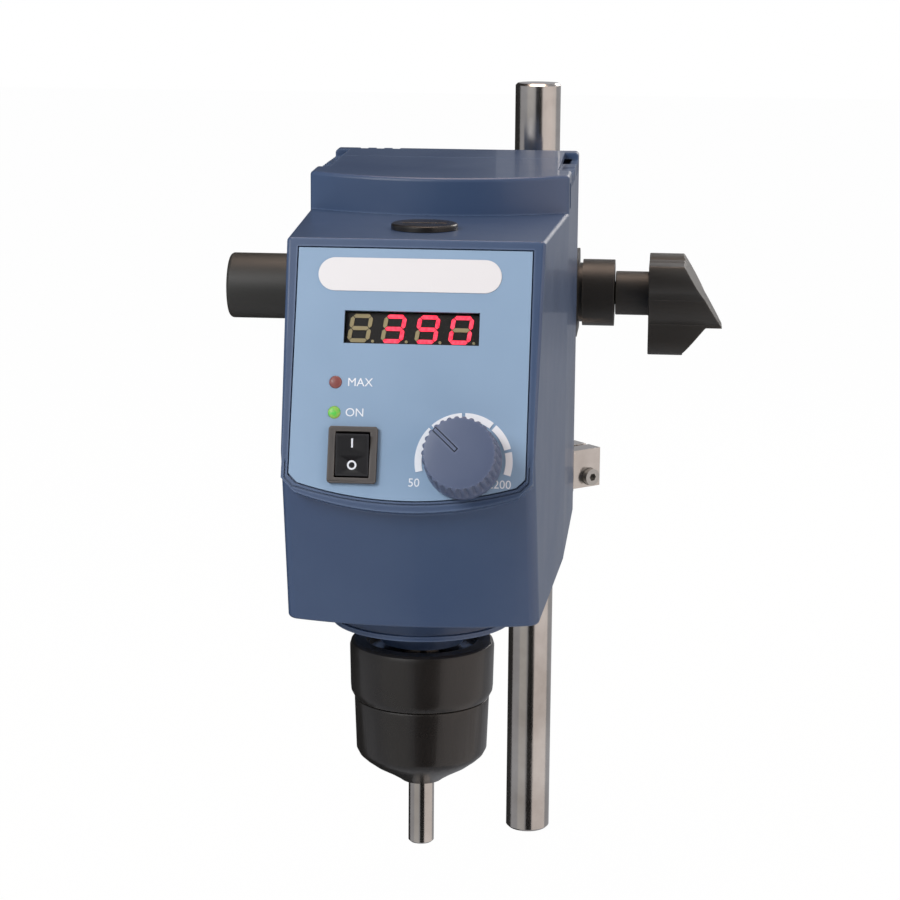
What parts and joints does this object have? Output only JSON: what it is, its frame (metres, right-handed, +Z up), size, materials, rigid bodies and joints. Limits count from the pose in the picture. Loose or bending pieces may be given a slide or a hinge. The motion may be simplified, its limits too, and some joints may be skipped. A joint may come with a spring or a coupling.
{
  "type": "overhead stirrer",
  "caption": "Bench overhead stirrer head with digital display, speed knob and rocker switch, keyless chuck with shaft below, held by a cross clamp on a round stand rod.",
  "frame": {"origin": "on the stirring axis, at the free lower end of the stirring shaft", "axes": "+X right seen from the front, +Y back, +Z up"},
  "size_m": [0.1771, 0.2518, 0.276],
  "materials": {
    "housing_blue": "moulded slate blue, fine satin",
    "panel_blue": "printed light blue film",
    "plate_white": "smooth white",
    "print_white": "printed white",
    "display_black": "dark display block",
    "window_clear": "clear cover",
    "digit_red": "lit segments",
    "digit_beige": "unlit segments",
    "lamp_red": "dull red lens",
    "lamp_green": "green lens",
    "knob_blue": "fluted blue-grey",
    "pointer_dark": "dark inlay",
    "switch_frame": "brown-black",
    "switch_black": "polished black",
    "cap_black": "polished black",
    "chuck_black": "satin black",
    "clamp_black": "dark satin coat",
    "grip_black": "dark matt grip",
    "steel": "drawn and polished along its length",
    "bearing_steel": "ground",
    "screw_steel": "zinc plated",
    "aluminium": "machined",
    "cast": "die cast",
    "board_green": "solder mask",
    "motor_metal": "dark zinc",
    "core": "laminated core",
    "belt": "rubber",
    "brass": "turned"
  },
  "bodies": {
    "stand": {"stand_rod": "steel"},
    "stop": {"stop_collar": "steel"},
    "stop_screw_body": {"stop_screw": "screw_steel"},
    "clamp": {"clamp_body": "clamp_black"},
    "rod_knob": {"rod_clamp_knob": "grip_black"},
    "arm_knob": {"arm_clamp_knob": "grip_black"},
    "head": {"front_housing": "housing_blue", "rear_cover": "housing_blue", "cover_screws": "screw_steel", "power_jack": "switch_black", "jack_pin": "brass", "front_panel": "panel_blue", "name_plate": "plate_white", "display_module": "display_black", "display_window": "window_clear", "lit_segments": "digit_red", "unlit_segments": "digit_beige", "control_board": "board_green", "board_screws": "screw_steel", "overload_lens": "lamp_red", "power_lens": "lamp_green", "dial_segments": "print_white", "potentiometer": "motor_metal", "switch_frame": "switch_frame", "lower_flange": "housing_blue", "flange_screws": "screw_steel", "spindle_carrier": "cast", "bearing_outer_rings": "bearing_steel", "bearing_balls": "bearing_steel", "drive_belt": "belt", "motor_can": "motor_metal", "motor_stator": "core", "motor_screws": "screw_steel", "deck": "aluminium", "deck_screws": "screw_steel", "arm_block": "cast", "arm_screws": "screw_steel", "arm_set_screw": "screw_steel", "support_arm": "steel"},
    "spindle": {"hollow_spindle": "steel", "bearing_inner_rings": "bearing_steel", "snap_ring": "bearing_steel", "spindle_pulley": "aluminium", "chuck_body": "steel", "chuck_ring": "chuck_black"},
    "sleeve": {"chuck_sleeve": "chuck_black", "chuck_nut": "bearing_steel"},
    "jaw_1_body": {"jaw_1": "steel"},
    "jaw_2_body": {"jaw_2": "steel"},
    "jaw_3_body": {"jaw_3": "steel"},
    "shaft": {"stirring_shaft": "steel"},
    "rotor": {"motor_shaft": "bearing_steel", "motor_rotor": "motor_metal", "motor_pulley": "aluminium"},
    "dial": {"speed_knob": "knob_blue", "knob_pointer": "pointer_dark", "pot_shaft": "bearing_steel"},
    "rocker": {"switch_rocker": "switch_black", "rocker_marks": "print_white"},
    "cap": {"top_cap": "cap_black"}
  },
  "joints": [
    {"name": "stop_height", "type": "slide", "parent": "stand", "child": "stop", "axis": [0, 0, 1], "range_m": [-0.03, 0.02]},
    {"name": "stop_screw_turn", "type": "hinge", "parent": "stop", "child": "stop_screw_body", "pos_m": [0.04097, 0.16045, 0.0838], "axis": [0.6561, -0.7547, 0], "range_deg": [-90, 360]},
    {"name": "clamp_height", "type": "slide", "parent": "stand", "child": "clamp", "axis": [0, 0, 1], "range_m": [-0.02, 0.05]},
    {"name": "rod_knob_turn", "type": "hinge", "parent": "clamp", "child": "rod_knob", "pos_m": [0.0661, 0.147, 0.153], "axis": [1, 0, 0], "range_deg": [-30, 540]},
    {"name": "arm_knob_turn", "type": "hinge", "parent": "clamp", "child": "arm_knob", "pos_m": [-0.05, 0.147, 0.153], "axis": [-1, 0, 0], "range_deg": [-30, 540]},
    {"name": "arm_reach", "type": "slide", "parent": "clamp", "child": "head", "axis": [0, 1, 0], "range_m": [-0.015, 0.01]},
    {"name": "spindle_turn", "type": "hinge", "parent": "head", "child": "spindle", "pos_m": [0, 0, 0.1], "axis": [0, 0, 1], "continuous": true},
    {"name": "rotor_turn", "type": "hinge", "parent": "head", "child": "rotor", "pos_m": [0, 0.052, 0.12], "axis": [0, 0, 1], "continuous": true},
    {"name": "sleeve_turn", "type": "hinge", "parent": "spindle", "child": "sleeve", "pos_m": [0, 0, 0.04], "axis": [0, 0, 1], "range_deg": [0, 300]},
    {"name": "jaw_1_slide", "type": "slide", "parent": "spindle", "child": "jaw_1_body", "axis": [0, 0.2079, 0.9781], "range_m": [0, 0.005]},
    {"name": "jaw_2_slide", "type": "slide", "parent": "spindle", "child": "jaw_2_body", "axis": [-0.1801, -0.104, 0.9781], "range_m": [0, 0.005]},
    {"name": "jaw_3_slide", "type": "slide", "parent": "spindle", "child": "jaw_3_body", "axis": [0.1801, -0.104, 0.9781], "range_m": [0, 0.005]},
    {"name": "shaft_slide", "type": "slide", "parent": "spindle", "child": "shaft", "axis": [0, 0, 1], "range_m": [-0.03, 0.015]},
    {"name": "speed_turn", "type": "hinge", "parent": "head", "child": "dial", "pos_m": [0.0162, -0.04734, 0.1326], "axis": [0, -0.9379, 0.3469], "range_deg": [-182, 88]},
    {"name": "power_rocker", "type": "hinge", "parent": "head", "child": "rocker", "pos_m": [-0.0156, -0.04653, 0.13336], "axis": [-1, 0, 0], "range_deg": [0, 14]},
    {"name": "cap_lift", "type": "slide", "parent": "head", "child": "cap", "axis": [0, 0, 1], "range_m": [0, 0.012]}
  ],
  "couplings": [
    {"joint": "rotor_turn", "follows": "spindle_turn", "ratio": 2},
    {"joint": "jaw_1_slide", "follows": "sleeve_turn", "m_per_rad": 0.0009549},
    {"joint": "jaw_2_slide", "follows": "sleeve_turn", "m_per_rad": 0.0009549},
    {"joint": "jaw_3_slide", "follows": "sleeve_turn", "m_per_rad": 0.0009549}
  ]
}
